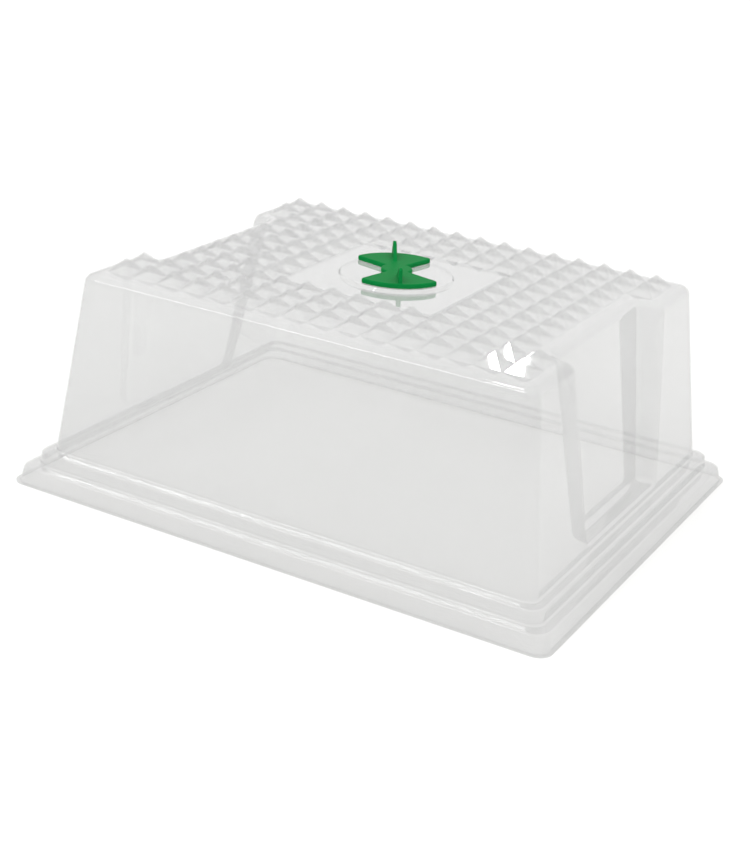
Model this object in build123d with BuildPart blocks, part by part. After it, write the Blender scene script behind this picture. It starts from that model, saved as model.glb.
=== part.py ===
"""Humidity dome: a clear thermoformed cover for a seed tray, with a rotary vent in its roof.

Millimetres. The origin is at the middle of the rim's underside, X runs along the dome, Z is up.
The dome is one formed sheet: stepped rim, drafted walls, a full-height grip notch in each short end,
and a roof of small pyramids round a raised flat patch that carries the vent.
"""

import os
from math import atan2, cos, degrees, radians, sin, tan

from build123d import *

# Sheet
wall = 1.0

# Rim, as insets from the lip and heights above the surface it stands on
lip_length = 416.0
lip_width = 332.0
lip_flange = 2.0
lower_ledge_inset = 4.3
lower_ledge_height = 12.2
lower_ledge_width = 7.9
upper_ledge_inset = 13.0
upper_ledge_height = 22.2
upper_ledge_width = 7.3
rim_corner_radius = 10.0

# Walls
roof_height = 154.0
end_wall_lean = 18.0
side_wall_lean = 11.5
wall_corner_radius = 9.0
roof_edge_round = 6.0

# Roof pattern
pitch = 20.0
end_margin = 9.0
side_margin = 14.0
pyramid_base = 19.0
pyramid_tip = 2.0
pyramid_height = 8.8
patch_size = 120.0
patch_rise = 2.0
patch_draft = 0.8

# Grip notches in the short ends
notch_depth_low = 13.5
notch_depth_high = 17.5
notch_floor_height = 28.0
notch_half_width_low = 57.0
notch_half_width_high = 70.0
notch_flare = 0.3
notch_corner_radius = 4.0

# Vent platform, with two sector openings and a pivot bore
platform_margin = 1.2
platform_height = 2.4
platform_draft = 1.4
opening_hub_margin = 3.0
opening_edge_margin = 3.6
opening_side_margin = 5.0
opening_corner_radius = 2.0
pivot_clearance = 0.08

# Vent dial
dial_radius = 37.8
dial_angle = 90.0
dial_heading = 123.0
dial_gap = 0.3
blade_thickness = 1.8
blade_rim_depth = 3.2
blade_rim_width = 1.6
blade_tip_radius = 2.5
hub_radius = 11.0
fin_thickness = 2.7
fin_inner_radius = 15.0
fin_edge_margin = 1.6
fin_height = 10.0
fin_slope_length = 15.0
fin_outer_slope_length = 1.6
fin_top_radius = 1.8
stem_radius = 4.0
barb_overhang = 1.1
barb_height = 2.4
barb_gap = 0.3
barb_lead_in = 0.6
stem_bore_radius = 2.2
stem_slot_width = 1.4

# Worked out from the sizes above
trim_depth = 5 * wall
half_length = lip_length / 2
half_width = lip_width / 2
wall_foot_inset = upper_ledge_inset + upper_ledge_width
roof_half_length = half_length - wall_foot_inset - end_wall_lean
roof_half_width = half_width - wall_foot_inset - side_wall_lean
platform_radius = dial_radius + platform_margin
patch_top = roof_height + patch_rise
platform_top = patch_top + platform_height
opening_inner_radius = hub_radius + opening_hub_margin
opening_outer_radius = dial_radius - opening_edge_margin
opening_angle = dial_angle - 2 * opening_side_margin
fin_outer_radius = dial_radius - fin_edge_margin
blade_bottom = platform_top + dial_gap
blade_top = blade_bottom + blade_rim_depth
barb_top = platform_top - wall - barb_gap


def block_outline(half_span, lean):
    """Half of the stepped outline on one axis, from under the lip up to the roof."""
    riser_lean = (lower_ledge_inset - lip_flange) / lower_ledge_height
    below = trim_depth
    return [
        (half_span - lip_flange + riser_lean * below, -below),
        (half_span - lower_ledge_inset, lower_ledge_height),
        (half_span - lower_ledge_inset - lower_ledge_width, lower_ledge_height),
        (half_span - upper_ledge_inset, upper_ledge_height),
        (half_span - wall_foot_inset, upper_ledge_height),
        (half_span - wall_foot_inset - lean, roof_height),
    ]


def formed_block(inset):
    """The dome without its notches, as one solid block with every face moved in by inset."""
    with BuildPart() as block:
        for plane, half_span, lean, reach, mode in (
            (Plane.XZ, half_length, end_wall_lean, lip_width, Mode.ADD),
            (Plane.YZ, half_width, side_wall_lean, lip_length, Mode.INTERSECT),
        ):
            right = block_outline(half_span, lean)
            left = [(-across, up) for across, up in reversed(right)]
            with BuildSketch(plane):
                with BuildLine():
                    Polyline(*right, *left, close=True)
                make_face()
                if inset:
                    offset(amount=-inset, kind=Kind.INTERSECTION)
            extrude(amount=reach, both=True, mode=mode)
        for low, high, radius in (
            (-lip_width, upper_ledge_height, rim_corner_radius),
            (upper_ledge_height, roof_height, wall_corner_radius),
        ):
            uprights = block.edges().filter_by(
                lambda edge: abs(edge.tangent_at(0.5).Z) > 0.5 and low < edge.center().Z < high
            )
            fillet(uprights, radius=radius - inset)
        fillet(block.faces().sort_by(Axis.Z)[-1].edges(), radius=roof_edge_round - inset)
    return block.part


def end_notch(growth):
    """The cutter for the grip notch in the +X end, with its faces moved out by growth."""
    back_low = half_length - wall_foot_inset - notch_depth_low
    back_high = roof_half_length - notch_depth_high
    back_lean = (back_low - back_high) / (roof_height - notch_floor_height)
    above = roof_edge_round
    with BuildPart() as notch:
        with BuildSketch(Plane.XZ):
            with BuildLine():
                Polyline(
                    (back_low, notch_floor_height),
                    (half_length, notch_floor_height),
                    (half_length, roof_height + above),
                    (back_high - back_lean * above, roof_height + above),
                    close=True,
                )
            make_face()
            if growth:
                offset(amount=growth, kind=Kind.INTERSECTION)
        extrude(amount=2 * notch_half_width_high, both=True)
        for side in (1, -1):
            along_flare = Vector(1, side * notch_flare, 0)
            foot = Vector(back_low, side * notch_half_width_low, notch_floor_height)
            head = Vector(back_high, side * notch_half_width_high, roof_height)
            outward = along_flare.cross(head - foot) * -side
            side_plane = Plane(origin=foot, x_dir=along_flare, z_dir=outward)
            split(bisect_by=side_plane.offset(growth), keep=Keep.BOTTOM)
        back_corners = notch.edges().filter_by(
            lambda edge: abs(edge.tangent_at(0.5).Z) > 0.5 and edge.center().X < back_low
        )
        fillet(back_corners, radius=notch_corner_radius + growth)
    return notch.part


def pyramid_spots():
    """Centres of the roof's pyramids: as many as the roof holds, less the flat patch and the notches."""
    columns = int((roof_half_length - end_margin) * 2 // pitch)
    rows = int((roof_half_width - side_margin) * 2 // pitch)
    notch_back = roof_half_length - notch_depth_high
    notch_mouth = notch_half_width_high + notch_flare * notch_depth_high
    spots = []
    for column in range(columns):
        for row in range(rows):
            across = (column - (columns - 1) / 2) * pitch
            along = (row - (rows - 1) / 2) * pitch
            on_patch = max(abs(across), abs(along)) < patch_size / 2
            on_notch = abs(across) + pitch / 2 > notch_back and abs(along) - pitch / 2 < notch_mouth
            if not on_patch and not on_notch:
                spots.append((across, along))
    return spots


def pyramid_field(drop):
    """All the roof's pyramids, standing on a plane that is drop below the roof's top face."""
    side_run = (pyramid_base - pyramid_tip) / 2
    with BuildPart() as field:
        with BuildSketch(Plane.XY.offset(roof_height - drop)):
            with Locations(*pyramid_spots()):
                Rectangle(pyramid_base, pyramid_base)
        extrude(amount=pyramid_height, taper=degrees(atan2(side_run, pyramid_height)))
    return field.part


def bow_tie(radius, angle, height):
    """A sketch of two opposite sectors of a disc, one each side of the pivot along the dial's heading."""
    reach = 2 * radius
    spread = reach * tan(radians(angle / 2))
    with BuildSketch(Plane.XY.offset(height)) as pair:
        with PolarLocations(0, 2, start_angle=dial_heading):
            Polygon((0, 0), (reach, -spread), (reach, spread), align=None)
        Circle(radius, mode=Mode.INTERSECT)
    return pair.sketch


def sheet_side(inset):
    """One side of the formed sheet as a solid, with notches, pyramids, raised patch and vent platform."""
    pyramid_slope = atan2(pyramid_height, (pyramid_base - pyramid_tip) / 2)
    patch_slope = atan2(patch_rise, patch_draft)
    patch_foot = patch_size - 2 * inset * tan(patch_slope / 2)
    patch_head = patch_foot - 2 * patch_draft
    platform_slope = atan2(platform_height, platform_draft)
    platform_shrink = inset * tan(platform_slope / 2)
    with BuildPart() as side:
        add(formed_block(inset))
        with Locations(Location((0, 0, 0)), Location((0, 0, 0), (0, 0, 180))):
            add(end_notch(inset), mode=Mode.SUBTRACT)
        add(pyramid_field(inset / cos(pyramid_slope)))
        with BuildSketch(Plane.XY.offset(roof_height - inset)):
            Rectangle(patch_foot, patch_foot)
        with BuildSketch(Plane.XY.offset(patch_top - inset)):
            Rectangle(patch_head, patch_head)
        loft()
        with BuildSketch(Plane.XY.offset(patch_top - inset)):
            Circle(platform_radius + platform_draft - platform_shrink)
        with BuildSketch(Plane.XY.offset(platform_top - inset)):
            Circle(platform_radius - platform_shrink)
        loft()
    return side.part


# The clear formed sheet: its outer side less its inner side, trimmed at the rim, with the lip turned out
with BuildPart() as dome_shell:
    add(sheet_side(0))
    add(sheet_side(wall), mode=Mode.SUBTRACT)
    with BuildSketch(Plane.XY):
        Rectangle(2 * lip_length, 2 * lip_width)
    extrude(amount=-trim_depth, mode=Mode.SUBTRACT)
    with BuildSketch(Plane.XY):
        RectangleRounded(lip_length, lip_width, rim_corner_radius + lip_flange)
        RectangleRounded(
            lip_length - 2 * lip_flange - wall,
            lip_width - 2 * lip_flange - wall,
            rim_corner_radius,
            mode=Mode.SUBTRACT,
        )
    extrude(amount=wall)
    with BuildSketch(Plane.XY.offset(platform_top)) as cut_outs:
        add(bow_tie(opening_outer_radius, opening_angle, platform_top))
        Circle(opening_inner_radius, mode=Mode.SUBTRACT)
        fillet(cut_outs.vertices(), radius=opening_corner_radius)
        Circle(stem_radius + pivot_clearance)
    extrude(amount=-platform_height - 2 * wall, mode=Mode.SUBTRACT)
dome_shell.part.label = "dome_shell"

# The moulded dial: two hollow-backed sector blades on a hub, two finger fins and a split snap stem
with BuildPart() as vent_dial:
    with BuildSketch(Plane.XY.offset(blade_bottom)) as dial_outline:
        add(bow_tie(dial_radius, dial_angle, blade_bottom))
        Circle(hub_radius)
        tips = dial_outline.vertices().filter_by(lambda corner: Vector(corner.X, corner.Y).length > hub_radius + 1)
        fillet(tips, radius=blade_tip_radius)
    extrude(amount=blade_rim_depth)
    with BuildSketch(Plane.XY.offset(blade_bottom)):
        add(dial_outline.sketch)
        offset(amount=-blade_rim_width)
        Circle(hub_radius, mode=Mode.SUBTRACT)
    extrude(amount=blade_rim_depth - blade_thickness, mode=Mode.SUBTRACT)
    for heading in (radians(dial_heading), radians(dial_heading + 180)):
        outward = Vector(cos(heading), sin(heading), 0)
        fin_plane = Plane(origin=(0, 0, blade_top), x_dir=outward, z_dir=outward.cross(Vector(0, 0, 1)))
        with BuildSketch(fin_plane) as fin_side:
            with BuildLine():
                Polyline(
                    (fin_inner_radius, -blade_thickness / 2),
                    (fin_outer_radius, -blade_thickness / 2),
                    (fin_outer_radius, 0),
                    (fin_outer_radius - fin_outer_slope_length, fin_height),
                    (fin_inner_radius + fin_slope_length, fin_height),
                    (fin_inner_radius, 0),
                    close=True,
                )
            make_face()
            fillet(fin_side.vertices().group_by(Axis.Y)[-1], radius=fin_top_radius)
        extrude(amount=fin_thickness / 2, both=True)
    with BuildSketch(Plane.XY.offset(blade_bottom)):
        Circle(stem_radius)
    extrude(amount=barb_top - blade_bottom)
    with BuildSketch(Plane.XY.offset(barb_top)):
        Circle(stem_radius + barb_overhang)
    with BuildSketch(Plane.XY.offset(barb_top - barb_height)):
        Circle(stem_radius - barb_lead_in)
    loft()
    with BuildSketch(Plane.XY.offset(barb_top - barb_height)):
        Circle(stem_bore_radius)
        with PolarLocations(0, 2, angular_range=180):
            Rectangle(4 * stem_radius, stem_slot_width)
    extrude(amount=blade_bottom - barb_top + barb_height, mode=Mode.SUBTRACT)
vent_dial.part.label = "vent_dial"

os.makedirs("parts", exist_ok=True)
export_step(dome_shell.part, "parts/dome_shell.step")
export_step(vent_dial.part, "parts/vent_dial.step")
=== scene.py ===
"""Clear humidity dome with a green rotary vent dial, standing on a pale studio floor."""

from math import cos, radians, sin

import bmesh
import bpy
from mathutils import Matrix, Vector


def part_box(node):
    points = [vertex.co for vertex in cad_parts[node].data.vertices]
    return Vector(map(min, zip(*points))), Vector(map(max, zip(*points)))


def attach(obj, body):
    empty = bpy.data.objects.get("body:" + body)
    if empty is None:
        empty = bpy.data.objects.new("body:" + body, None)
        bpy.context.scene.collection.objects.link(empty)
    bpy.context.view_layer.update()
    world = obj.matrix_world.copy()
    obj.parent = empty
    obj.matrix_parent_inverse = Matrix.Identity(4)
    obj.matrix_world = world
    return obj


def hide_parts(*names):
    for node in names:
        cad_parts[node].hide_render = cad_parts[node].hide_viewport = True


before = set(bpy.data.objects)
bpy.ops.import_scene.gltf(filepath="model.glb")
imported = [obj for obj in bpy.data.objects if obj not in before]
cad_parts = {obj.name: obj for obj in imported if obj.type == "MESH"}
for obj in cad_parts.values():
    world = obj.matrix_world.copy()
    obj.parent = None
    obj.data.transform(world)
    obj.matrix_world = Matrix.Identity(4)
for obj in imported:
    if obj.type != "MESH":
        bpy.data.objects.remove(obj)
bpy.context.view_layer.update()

# Camera
# A short telephoto view from the front right, a little above the dome, held with a slight tilt.
camera_azimuth = radians(28.45)
camera_elevation = radians(22.74)
camera_tilt = radians(4.05)
camera_target = Vector((0.0198, -0.0507, 0.0600))
camera_distance = 1.1131
camera_lens = 67.34

back = Vector(
    (
        sin(camera_azimuth) * cos(camera_elevation),
        -cos(camera_azimuth) * cos(camera_elevation),
        sin(camera_elevation),
    )
)
level_right = Vector((cos(camera_azimuth), sin(camera_azimuth), 0))
level_up = back.cross(level_right)
right = level_right * cos(camera_tilt) + level_up * sin(camera_tilt)
up = back.cross(right)
bpy.ops.object.camera_add()
camera = bpy.context.object
camera.name = "studio_camera"
camera.data.lens = camera_lens
camera.data.clip_start = 0.05
camera.data.clip_end = 50
turn = Matrix((right, up, back)).transposed().to_4x4()
camera.matrix_world = Matrix.Translation(camera_target + back * camera_distance) @ turn
bpy.context.scene.camera = camera

# Studio
# A seamless white paper floor, a large overhead softbox, a small key softbox, a thin strip softbox and a white
# room round them, so that the clear sheet has only white to mirror.
mm = 0.001
floor_size = 14.0
paper_white = "#FBFBFA"


def linear(hex_colour):
    """An sRGB hex colour as linear red, green, blue and alpha."""
    channels = [int(hex_colour[place : place + 2], 16) / 255 for place in (1, 3, 5)]
    return [c / 12.92 if c <= 0.04045 else ((c + 0.055) / 1.055) ** 2.4 for c in channels] + [1.0]


def add_node(tree, kind, inputs=(), **settings):
    """Adds a shader node with its settings, and gives each named input a value or a link."""
    node = tree.nodes.new(kind)
    for name, value in settings.items():
        setattr(node, name, value)
    for name, value in dict(inputs).items():
        if isinstance(value, bpy.types.NodeSocket):
            tree.links.new(value, node.inputs[name])
        else:
            node.inputs[name].default_value = value
    return node


def new_material(name):
    """An empty node material and its tree, with the output node last made."""
    material = bpy.data.materials.new(name)
    material.use_nodes = True
    material.node_tree.nodes.clear()
    return material, material.node_tree


bpy.ops.object.select_all(action="DESELECT")
bpy.ops.mesh.primitive_plane_add(size=floor_size)
floor = bpy.context.object
floor.name = "studio_floor"
paper, tree = new_material("matte_white_paper")
paper_shader = add_node(tree, "ShaderNodeBsdfDiffuse", {"Color": linear(paper_white), "Roughness": 0.6})
add_node(tree, "ShaderNodeOutputMaterial", {"Surface": paper_shader.outputs["BSDF"]})
floor.data.materials.append(paper)

room_white = "#FDFDFD"
room_strength = 1.09
sheet_faces_in_line = 64
world = bpy.data.worlds.new("white_room")
bpy.context.scene.world = world
world.use_nodes = True
world.node_tree.nodes["Background"].inputs["Color"].default_value = linear(room_white)
world.node_tree.nodes["Background"].inputs["Strength"].default_value = room_strength
bpy.context.scene.view_settings.view_transform = "Standard"
bpy.context.scene.cycles.transparent_max_bounces = sheet_faces_in_line


def add_softbox(name, place, aim, width, depth, power):
    """A rectangular area light at place, turned to face aim."""
    bpy.ops.object.light_add(type="AREA", location=place)
    lamp = bpy.context.object
    lamp.name = name
    lamp.data.shape = "RECTANGLE"
    lamp.data.size = width
    lamp.data.size_y = depth
    lamp.data.energy = power
    lamp.rotation_mode = "QUATERNION"
    lamp.rotation_quaternion = (Vector(aim) - Vector(place)).to_track_quat("-Z", "Y")


add_softbox("overhead_softbox", (0.0, 0.0, 3.2), (0.0, 0.0, 0.0), 7.0, 7.0, 28)
add_softbox("key_softbox", (-0.46, -0.69, 1.55), (0.13, -0.10, 0.15), 0.06, 0.05, 0.3)
add_softbox("strip_softbox", (-0.60, -1.10, 1.00), (-0.60, -0.10, 0.10), 1.2, 0.05, 2)

# Clear dome
# One sheet of clear PET, heated and drawn over a mould in one pull, then trimmed at the rim. The edge of the
# sheet is turned out at the foot. The dome rests on it and is not fastened to anything.
sheet = 1.0 * mm
lip_width = 2.0 * mm
foot_corner = 10.0 * mm
foot_insets = ((4.3, 12.2), (12.2, 12.2), (13.0, 22.2), (20.3, 22.2))
ledge_round = 1.6 * mm
end_lean = 18.0 * mm
side_lean = 11.5 * mm
roof = 154.0 * mm
half_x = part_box("dome_shell")[1].x
half_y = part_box("dome_shell")[1].y
wall_foot_inset = foot_insets[-1][0] * mm
roof_x = half_x - wall_foot_inset - end_lean
roof_y = half_y - wall_foot_inset - side_lean


def pick(kind, test):
    """Selects only the vertices, edges or faces of the edited mesh that pass test."""
    bpy.ops.mesh.select_mode(type=kind)
    bpy.ops.mesh.select_all(action="DESELECT")
    mesh = bmesh.from_edit_mesh(bpy.context.object.data)
    mesh.normal_update()
    for part in {"VERT": mesh.verts, "EDGE": mesh.edges, "FACE": mesh.faces}[kind]:
        if test(part):
            part.select_set(True)
    mesh.select_flush_mode()
    bmesh.update_edit_mesh(bpy.context.object.data)


def middle(edge):
    """The middle of an edge."""
    return (edge.verts[0].co + edge.verts[1].co) / 2


def is_sharp(edge, angle=25):
    """True where an edge's two faces turn by more than angle, in degrees."""
    return len(edge.link_faces) == 2 and edge.calc_face_angle() > radians(angle)


def is_upright(edge):
    """True for an edge that rises more than it runs."""
    run = edge.verts[1].co - edge.verts[0].co
    return abs(run.z) > 0.7 * run.length


def start_shape(name):
    """Names the primitive just added and opens it for editing."""
    shape = bpy.context.object
    shape.name = name
    bpy.ops.object.transform_apply(location=True, rotation=True, scale=True)
    bpy.ops.object.mode_set(mode="EDIT")
    return shape


def round_edges(test, radius, segments):
    """Rounds the edges that pass test."""
    pick("EDGE", test)
    bpy.ops.mesh.bevel(
        offset=radius,
        offset_type="OFFSET",
        segments=segments,
        profile=0.5,
        affect="EDGES",
        clamp_overlap=False,
    )


def combine(body, tool, operation):
    """Cuts tool out of body, or joins it on, and removes tool."""
    bpy.ops.object.select_all(action="DESELECT")
    bpy.context.view_layer.objects.active = body
    body.select_set(True)
    bpy.ops.object.modifier_add(type="BOOLEAN")
    cut = body.modifiers[-1]
    cut.operation = operation
    cut.solver = "EXACT"
    cut.object = tool
    bpy.ops.object.modifier_apply(modifier=cut.name)
    bpy.data.objects.remove(tool)


# The block is drawn up from its foot, one level at a time.
bpy.ops.mesh.primitive_plane_add(size=2)
dome = start_shape("clear_dome")
across, along = half_x - lip_width, half_y - lip_width
bpy.ops.transform.resize(value=(across, along, 1), center_override=(0, 0, 0))
bpy.ops.transform.translate(value=(0, 0, sheet))
bpy.ops.mesh.bevel(offset=foot_corner, segments=8, affect="VERTICES", clamp_overlap=False)
bpy.ops.mesh.select_all(action="SELECT")
height = sheet
levels = [(half_x - inset * mm, half_y - inset * mm, up_to * mm) for inset, up_to in foot_insets]
for next_across, next_along, next_height in (*levels, (roof_x, roof_y, roof)):
    bpy.ops.mesh.extrude_region_move(TRANSFORM_OT_translate={"value": (0, 0, next_height - height)})
    growth = (next_across / across, next_along / along, 1)
    bpy.ops.transform.resize(value=growth, center_override=(0, 0, 0))
    across, along, height = next_across, next_along, next_height
bpy.ops.mesh.select_all(action="SELECT")
bpy.ops.mesh.normals_make_consistent(inside=False)
bpy.ops.object.mode_set(mode="OBJECT")

# Each short end has a grip notch, narrower and shallower at its floor.
notch_floor = 28.0 * mm
notch_back_low = half_x - wall_foot_inset - 13.5 * mm
notch_back_high = roof_x - 17.5 * mm
notch_half_low = 57.0 * mm
notch_half_high = 70.0 * mm
notch_flare = 0.3
notch_round = 4.0 * mm
notch_reach = half_x + 10 * mm
notch_top = roof + 20 * mm
for end in (1, -1):
    bpy.ops.mesh.primitive_cube_add(size=2)
    cutter = start_shape("notch_cutter")
    climb = (notch_top - notch_floor) / (roof - notch_floor)
    back_top = notch_back_low + (notch_back_high - notch_back_low) * climb
    half_top = notch_half_low + (notch_half_high - notch_half_low) * climb
    for inner, level, place_x, half_wide in (
        (1, -1, notch_back_low, notch_half_low),
        (1, 1, back_top, half_top),
        (-1, -1, notch_reach, notch_half_low + notch_flare * (notch_reach - notch_back_low)),
        (-1, 1, notch_reach, half_top + notch_flare * (notch_reach - back_top)),
    ):
        start_x = -inner * end
        place_z = notch_top if level > 0 else notch_floor
        pick("VERT", lambda v: abs(v.co.x - start_x) < mm and abs(v.co.z - level) < mm)
        bpy.ops.transform.resize(value=(1, half_wide, 1), center_override=(0, 0, 0))
        bpy.ops.transform.translate(value=(end * place_x - start_x, 0, place_z - level))
    bpy.ops.mesh.select_all(action="SELECT")
    bpy.ops.mesh.normals_make_consistent(inside=False)
    inner_reach, below_top = notch_reach - mm, notch_top - mm
    round_edges(lambda e: abs(middle(e).x) < inner_reach and middle(e).z < below_top, notch_round, 5)
    bpy.ops.object.mode_set(mode="OBJECT")
    combine(dome, cutter, "DIFFERENCE")

# The drawn sheet has no sharp edges. The roof's edge is rounded most, then the sides of the notches' mouths,
# then their floors, and last the ledges.
roof_round = 6.0 * mm
mouth_share, floor_share = 0.55, 0.3
share_rise = 4.0 * mm
bpy.ops.object.mode_set(mode="EDIT")
mesh = bmesh.from_edit_mesh(dome.data)
weights = mesh.edges.layers.float.new("bevel_weight_edge")
for edge in mesh.edges:
    level = middle(edge).z
    if is_sharp(edge) and level > notch_floor - mm:
        climbed = min(max((level - notch_floor) / share_rise, 0), 1)
        edge[weights] = 1.0 if level > roof - mm else floor_share + (mouth_share - floor_share) * climbed
bmesh.update_edit_mesh(dome.data)
bpy.ops.object.mode_set(mode="OBJECT")
bpy.ops.object.modifier_add(type="BEVEL")
soften = dome.modifiers[-1]
soften.limit_method = "WEIGHT"
soften.width = roof_round
soften.segments = 6
soften.use_clamp_overlap = False
bpy.ops.object.modifier_apply(modifier=soften.name)
bpy.ops.object.mode_set(mode="EDIT")
round_edges(lambda e: is_sharp(e) and 2 * sheet < middle(e).z < notch_floor - 2 * mm, ledge_round, 3)

# The roof is ruled into a grid, and each cell is drawn up into a pyramid with a blunt tip. The middle cells
# are one flat square patch, which stands a little above the roof on drafted sides.
pitch = 20.0 * mm
columns, rows = 16, 12
patch_half = 60.0 * mm
valley = 0.5 * mm
pyramid_height = 8.8 * mm
pyramid_run = 8.5 * mm
patch_rise = 2.0 * mm
patch_draft = 0.8 * mm
crease_round = 0.35 * mm


def on_roof(face):
    """True for a face of the flat roof."""
    return face.normal.z > 0.999 and abs(face.calc_center_median().z - roof) < 0.1 * mm


def on_grid(face):
    """True for a roof cell that is drawn up into a pyramid."""
    if not on_roof(face) or abs(face.calc_area() - pitch * pitch) > pitch * mm:
        return False
    centre = face.calc_center_median()
    inside = abs(centre.x) < columns * pitch / 2 and abs(centre.y) < rows * pitch / 2
    return inside and max(abs(centre.x), abs(centre.y)) > patch_half


for count, axis in ((columns, Vector((1, 0, 0))), (rows, Vector((0, 1, 0)))):
    for line in range(count + 1):
        pick("FACE", on_roof)
        bpy.ops.mesh.bisect(plane_co=axis * (line - count / 2) * pitch, plane_no=axis)
pick("FACE", lambda f: on_roof(f) and max(map(abs, f.calc_center_median().xy)) < patch_half)
bpy.ops.mesh.dissolve_faces()
bpy.ops.mesh.inset(thickness=patch_draft, depth=patch_rise)
pick("FACE", on_grid)
bpy.ops.mesh.inset(thickness=valley, use_individual=True)
bpy.ops.mesh.inset(thickness=pyramid_run, depth=pyramid_height, use_individual=True)
round_edges(lambda e: is_sharp(e) and middle(e).z > roof + mm, crease_round, 2)
round_edges(lambda e: is_sharp(e) and abs(middle(e).z - roof) < 0.1 * mm, crease_round, 2)
bpy.ops.object.mode_set(mode="OBJECT")

# The patch carries a low round platform that the dial turns on.
platform_radius = 39.0 * mm
platform_draft = 1.4 * mm
platform_height = 2.4 * mm
platform_round = 0.7 * mm
platform_root = 3.0 * mm
patch_top = roof + patch_rise
platform_top = patch_top + platform_height
rise = platform_height + platform_root
bpy.ops.mesh.primitive_cone_add(
    vertices=96,
    radius1=platform_radius + platform_draft * rise / platform_height,
    radius2=platform_radius,
    depth=rise,
    location=(0, 0, platform_top - rise / 2),
)
combine(dome, bpy.context.object, "UNION")
bpy.ops.object.mode_set(mode="EDIT")


def on_platform(edge):
    """True for an edge of the vent platform, at its top or at its foot on the patch."""
    near = middle(edge).xy.length < platform_radius + 3 * mm
    return near and middle(edge).z > patch_top - 0.1 * mm


round_edges(lambda e: is_sharp(e, 20) and on_platform(e), platform_round, 3)

# The foot is opened, its edge is turned out into the lip, and the sheet gets its thickness.
pick("FACE", lambda f: f.calc_center_median().z < 1.1 * sheet)
bpy.ops.mesh.delete(type="FACE")
pick("EDGE", lambda e: len(e.link_faces) == 1)
bpy.ops.mesh.extrude_edges_move()
growth = (half_x / (half_x - lip_width), half_y / (half_y - lip_width), 1)
bpy.ops.transform.resize(value=growth, center_override=(0, 0, 0))
bpy.ops.mesh.select_all(action="SELECT")
bpy.ops.mesh.normals_make_consistent(inside=False)
bpy.ops.object.mode_set(mode="OBJECT")
bpy.ops.object.modifier_add(type="SOLIDIFY")
thicken = dome.modifiers[-1]
thicken.thickness = sheet
thicken.offset = -1
thicken.use_even_offset = False
bpy.ops.object.modifier_apply(modifier=thicken.name)

# Two sector openings are die-cut through the platform, with a round hole for the dial's stem.
dial_heading = radians(123)
opening_inner = 14.0 * mm
opening_outer = 34.2 * mm
opening_angle = radians(80)
opening_round = 2.0 * mm
stem_hole = 4.08 * mm


def add_sector(name, inner, outer, angle, heading, low, depth):
    """An upright solid over the part of a ring between two radii, spread evenly about a heading."""
    bpy.ops.mesh.primitive_plane_add(size=2)
    shape = start_shape(name)
    bpy.ops.mesh.select_mode(type="VERT")
    bpy.ops.mesh.select_all(action="SELECT")
    bpy.ops.mesh.merge(type="CENTER")
    first = heading + angle / 2
    outward = Vector((cos(first), sin(first), 0))
    bpy.ops.transform.translate(value=outward * inner + Vector((0, 0, low)))
    bpy.ops.mesh.extrude_vertices_move(TRANSFORM_OT_translate={"value": outward * (outer - inner)})
    bpy.ops.mesh.select_all(action="SELECT")
    bpy.ops.mesh.spin(steps=20, angle=angle, center=(0, 0, 0), axis=(0, 0, 1))
    bpy.ops.mesh.select_all(action="SELECT")
    bpy.ops.mesh.dissolve_faces()
    bpy.ops.mesh.select_all(action="SELECT")
    bpy.ops.mesh.extrude_region_move(TRANSFORM_OT_translate={"value": (0, 0, depth)})
    bpy.ops.mesh.select_all(action="SELECT")
    bpy.ops.mesh.normals_make_consistent(inside=False)
    return shape


for heading in (dial_heading, dial_heading + radians(180)):
    cutter = add_sector(
        "opening_cutter", opening_inner, opening_outer, opening_angle, heading, roof - 5 * mm, 15 * mm
    )
    round_edges(lambda e: is_sharp(e, 60) and is_upright(e), opening_round, 4)
    bpy.ops.object.mode_set(mode="OBJECT")
    combine(dome, cutter, "DIFFERENCE")
bpy.ops.mesh.primitive_cylinder_add(vertices=48, radius=stem_hole, depth=20 * mm, location=(0, 0, roof))
combine(dome, bpy.context.object, "DIFFERENCE")


def finish_faces(piece, angle):
    """Smooth shading up to angle, with flat faces kept flat by their area."""
    bpy.ops.object.select_all(action="DESELECT")
    bpy.context.view_layer.objects.active = piece
    piece.select_set(True)
    bpy.ops.object.shade_smooth_by_angle(angle=radians(angle))
    bpy.ops.object.modifier_add(type="WEIGHTED_NORMAL")
    weigh = piece.modifiers[-1]
    weigh.keep_sharp = True
    bpy.ops.object.modifier_apply(modifier=weigh.name)


finish_faces(dome, 35)

# Clear PET sheet, thermoformed: glassy and colourless. Each face mirrors the room, most where it is seen at a
# low angle, and drawing the hot sheet has left it slightly wavy and slightly hazy.
pet_clear = "#F9F9F9"
pet_haze = "#E2E2E2"
pet_ior = 1.57
mirror_gain = 1.8
mirror_floor = 0.03
haze_share = 0.18
wave_size = 45 * mm
clear_pet, tree = new_material("thermoformed_clear_pet")
place = add_node(tree, "ShaderNodeTexCoord").outputs["Object"]
waves = add_node(tree, "ShaderNodeTexNoise", {"Vector": place, "Scale": 1 / wave_size, "Detail": 1.0})
surface = add_node(
    tree, "ShaderNodeBump", {"Height": waves.outputs["Fac"], "Strength": 0.1, "Distance": 0.1 * mm}
).outputs["Normal"]
clear = add_node(tree, "ShaderNodeBsdfTransparent", {"Color": linear(pet_clear)})
lit = add_node(tree, "ShaderNodeBsdfDiffuse", {"Color": linear(pet_haze)})
backlit = add_node(tree, "ShaderNodeBsdfTranslucent", {"Color": linear(pet_haze)})
haze = add_node(tree, "ShaderNodeMixShader", {0: 0.5, 1: lit.outputs[0], 2: backlit.outputs[0]})
sheet_body = add_node(tree, "ShaderNodeMixShader", {0: haze_share, 1: clear.outputs[0], 2: haze.outputs[0]})
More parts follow.
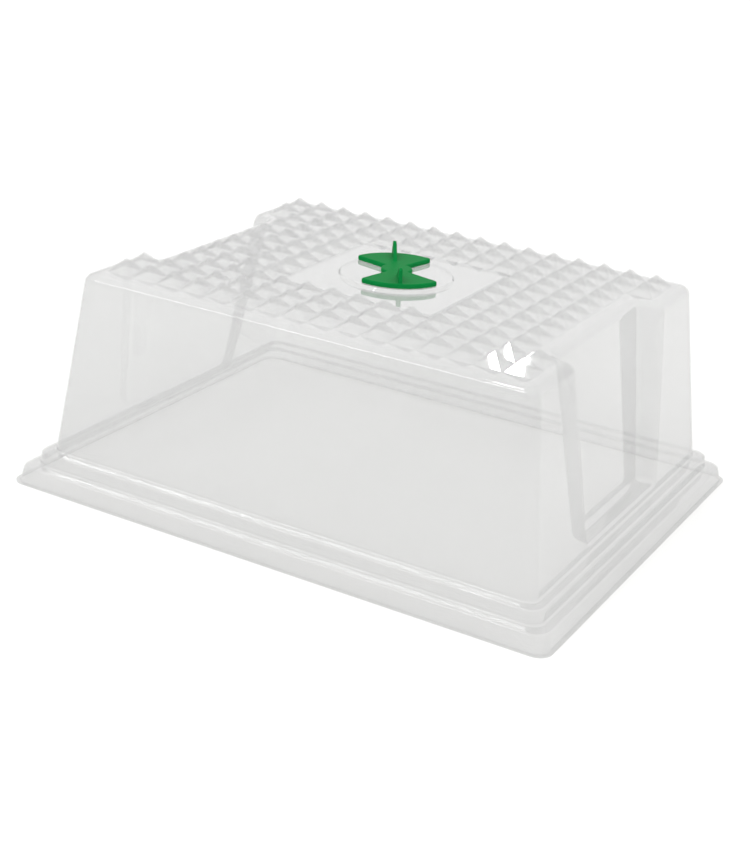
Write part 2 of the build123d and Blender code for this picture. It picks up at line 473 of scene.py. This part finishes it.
gloss = add_node(tree, "ShaderNodeBsdfGlossy", {"Roughness": 0.035, "Normal": surface})
mirror = add_node(tree, "ShaderNodeFresnel", {"IOR": pet_ior}).outputs["Fac"]
strong = add_node(
    tree,
    "ShaderNodeMath",
    {0: mirror, 1: mirror_gain, 2: mirror_floor},
    operation="MULTIPLY_ADD",
    use_clamp=True,
)
backfacing = add_node(tree, "ShaderNodeNewGeometry").outputs["Backfacing"]
front = add_node(tree, "ShaderNodeMath", {0: 1.0, 1: backfacing}, operation="SUBTRACT")
share = add_node(tree, "ShaderNodeMath", {0: strong.outputs[0], 1: front.outputs[0]}, operation="MULTIPLY")
layers = {0: share.outputs[0], 1: sheet_body.outputs[0], 2: gloss.outputs[0]}
skin = add_node(tree, "ShaderNodeMixShader", layers)
add_node(tree, "ShaderNodeOutputMaterial", {"Surface": skin.outputs[0]})
dome.data.materials.clear()
dome.data.materials.append(clear_pet)
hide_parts("dome_shell")
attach(dome, "dome")

# Vent dial
# One injection moulding in green polypropylene: two quarter-disc blades with hollow backs on a round hub,
# each with an upright finger fin. Its split stem is pushed through the round hole, and the barb springs open.
dial_radius = 37.8 * mm
dial_angle = radians(90)
dial_bottom = platform_top + 0.3 * mm
dial_depth = 3.2 * mm
dial_top = dial_bottom + dial_depth
hub_radius = 11.0 * mm
rim_thickness = 1.6 * mm
hollow_depth = 1.4 * mm
hollow_round = 1.2 * mm
blade_tip_round = 2.5 * mm
upper_round = 1.2 * mm
lower_round = 0.4 * mm
bpy.ops.mesh.primitive_cylinder_add(
    vertices=80, radius=hub_radius, depth=dial_depth, location=(0, 0, dial_bottom + dial_depth / 2)
)
dial = start_shape("vent_dial_moulding")
for side in (1, -1):
    pick("FACE", lambda f: abs(f.normal.z) < 0.1 and f.normal.x * side > cos(dial_angle / 2))
    bpy.ops.mesh.extrude_region_move()
    growth = dial_radius / hub_radius
    bpy.ops.transform.resize(value=(growth, growth, 1), center_override=(0, 0, 0))
for up in (1, -1):
    pick("FACE", lambda f: f.normal.z * up > 0.99)
    bpy.ops.mesh.dissolve_faces()
round_edges(
    lambda e: is_sharp(e, 60) and is_upright(e) and middle(e).xy.length > dial_radius - mm, blade_tip_round, 6
)
round_edges(lambda e: is_sharp(e, 60) and middle(e).z > dial_top - 0.1 * mm, upper_round, 4)
round_edges(lambda e: is_sharp(e, 60) and middle(e).z < dial_bottom + 0.1 * mm, lower_round, 2)
bpy.ops.object.mode_set(mode="OBJECT")
hollow_inner, hollow_outer = hub_radius + rim_thickness, dial_radius - rim_thickness
hollow_angle = dial_angle - 4 * rim_thickness / (hollow_inner + hollow_outer)
for heading in (0, radians(180)):
    low, depth = dial_bottom - mm, mm + hollow_depth
    cutter = add_sector("hollow_cutter", hollow_inner, hollow_outer, hollow_angle, heading, low, depth)
    round_edges(lambda e: is_sharp(e, 60) and is_upright(e), hollow_round, 4)
    bpy.ops.object.mode_set(mode="OBJECT")
    combine(dial, cutter, "DIFFERENCE")

# The fins rise outwards from the hub and thin towards their tops.
fin_inner, fin_outer = 15.0 * mm, 36.0 * mm
fin_rise = 10.0 * mm
fin_root = 0.9 * mm
fin_inner_slope, fin_outer_slope = 15.0 * mm, 1.6 * mm
fin_foot_half, fin_top_half = 1.5 * mm, 1.2 * mm
fin_end_round, fin_side_round, fin_root_round = 1.8 * mm, 0.75 * mm, 0.45 * mm
for side in (1, -1):
    bpy.ops.mesh.primitive_cube_add(size=2)
    fin = start_shape("fin")
    for inner, level, place_x, half_wide in (
        (1, -1, fin_inner, fin_foot_half),
        (1, 1, fin_inner + fin_inner_slope, fin_top_half),
        (-1, -1, fin_outer, fin_foot_half),
        (-1, 1, fin_outer - fin_outer_slope, fin_top_half),
    ):
        start_x = -inner * side
        place_z = dial_top + fin_rise if level > 0 else dial_top - fin_root
        pick("VERT", lambda v: abs(v.co.x - start_x) < mm and abs(v.co.z - level) < mm)
        bpy.ops.transform.resize(value=(1, half_wide, 1), center_override=(0, 0, 0))
        bpy.ops.transform.translate(value=(side * place_x - start_x, 0, place_z - level))
    bpy.ops.mesh.select_all(action="SELECT")
    bpy.ops.mesh.normals_make_consistent(inside=False)
    round_edges(
        lambda e: middle(e).z > dial_top + fin_rise - mm and abs(middle(e).y) < 0.1 * mm, fin_end_round, 6
    )
    round_edges(lambda e: is_sharp(e, 50) and middle(e).z > dial_top, fin_side_round, 3)
    bpy.ops.object.mode_set(mode="OBJECT")
    combine(dial, fin, "UNION")
bpy.ops.object.mode_set(mode="EDIT")
round_edges(lambda e: is_sharp(e, 40) and abs(middle(e).z - dial_top) < 0.02 * mm, fin_root_round, 3)
bpy.ops.object.mode_set(mode="OBJECT")

# The stem widens into the barb, is bored up its middle and split by two crossed slots.
stem_radius = 4.0 * mm
barb_radius = 5.1 * mm
barb_tip_radius = 3.4 * mm
barb_height = 2.4 * mm
barb_top = platform_top - sheet - 0.3 * mm
barb_round = 0.25 * mm
bore_radius = 2.2 * mm
bore_depth = 6.0 * mm
slot_width, slot_length = 1.4 * mm, 16 * mm
stem_head = dial_bottom + 0.5 * mm
bpy.ops.mesh.primitive_cylinder_add(
    vertices=48, radius=stem_radius, depth=stem_head - barb_top, location=(0, 0, (stem_head + barb_top) / 2)
)
stem = start_shape("stem")
pick("FACE", lambda f: f.normal.z < -0.99)
for drop, growth in ((0, barb_radius / stem_radius), (barb_height, barb_tip_radius / barb_radius)):
    bpy.ops.mesh.extrude_region_move(TRANSFORM_OT_translate={"value": (0, 0, -drop)})
    bpy.ops.transform.resize(value=(growth, growth, 1), center_override=(0, 0, 0))
bpy.ops.mesh.select_all(action="SELECT")
bpy.ops.mesh.normals_make_consistent(inside=False)
round_edges(lambda e: is_sharp(e, 40) and middle(e).z < barb_top + 0.1 * mm, barb_round, 2)
bpy.ops.object.mode_set(mode="OBJECT")
bore_middle = (0, 0, dial_bottom - bore_depth / 2)
bpy.ops.mesh.primitive_cylinder_add(vertices=32, radius=bore_radius, depth=bore_depth, location=bore_middle)
combine(stem, bpy.context.object, "DIFFERENCE")
for slot in ((slot_length, slot_width), (slot_width, slot_length)):
    bpy.ops.mesh.primitive_cube_add(size=2)
    cutter = start_shape("slot_cutter")
    bpy.ops.transform.resize(value=(slot[0] / 2, slot[1] / 2, bore_depth / 2), center_override=(0, 0, 0))
    bpy.ops.transform.translate(value=bore_middle)
    bpy.ops.object.mode_set(mode="OBJECT")
    combine(stem, cutter, "DIFFERENCE")
combine(dial, stem, "UNION")
dial.rotation_euler.z = dial_heading
bpy.ops.object.transform_apply(location=True, rotation=True, scale=True)
finish_faces(dial, 35)

# Green polypropylene, injection moulded in a spark-eroded mould: one even colour right through, a satin skin
# with a fine grain, and faint darker flow marks.
pp_green = "#0E803D"
pp_flow = "#0B7838"
flow_size = 12 * mm
grain_size = 0.3 * mm
green_pp, tree = new_material("moulded_green_polypropylene")
place = add_node(tree, "ShaderNodeTexCoord").outputs["Object"]
flow = add_node(tree, "ShaderNodeTexNoise", {"Vector": place, "Scale": 1 / flow_size, "Detail": 3.0})
green = add_node(
    tree, "ShaderNodeMix", {0: flow.outputs["Fac"], 6: linear(pp_flow), 7: linear(pp_green)}, data_type="RGBA"
)
grain = add_node(tree, "ShaderNodeTexNoise", {"Vector": place, "Scale": 1 / grain_size, "Detail": 2.0})
skin = add_node(
    tree, "ShaderNodeBump", {"Height": grain.outputs["Fac"], "Strength": 0.3, "Distance": 0.05 * mm}
).outputs["Normal"]
satin = add_node(
    tree,
    "ShaderNodeMapRange",
    {"Value": grain.outputs["Fac"], "From Min": 0.3, "From Max": 0.7, "To Min": 0.36, "To Max": 0.46},
)
plastic = add_node(
    tree,
    "ShaderNodeBsdfPrincipled",
    {
        "Base Color": green.outputs[2],
        "Roughness": satin.outputs["Result"],
        "IOR": 1.49,
        "Specular IOR Level": 0.02,
        "Normal": skin,
    },
)
add_node(tree, "ShaderNodeOutputMaterial", {"Surface": plastic.outputs["BSDF"]})
dial.data.materials.clear()
dial.data.materials.append(green_pp)
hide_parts("vent_dial")
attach(dial, "vent")
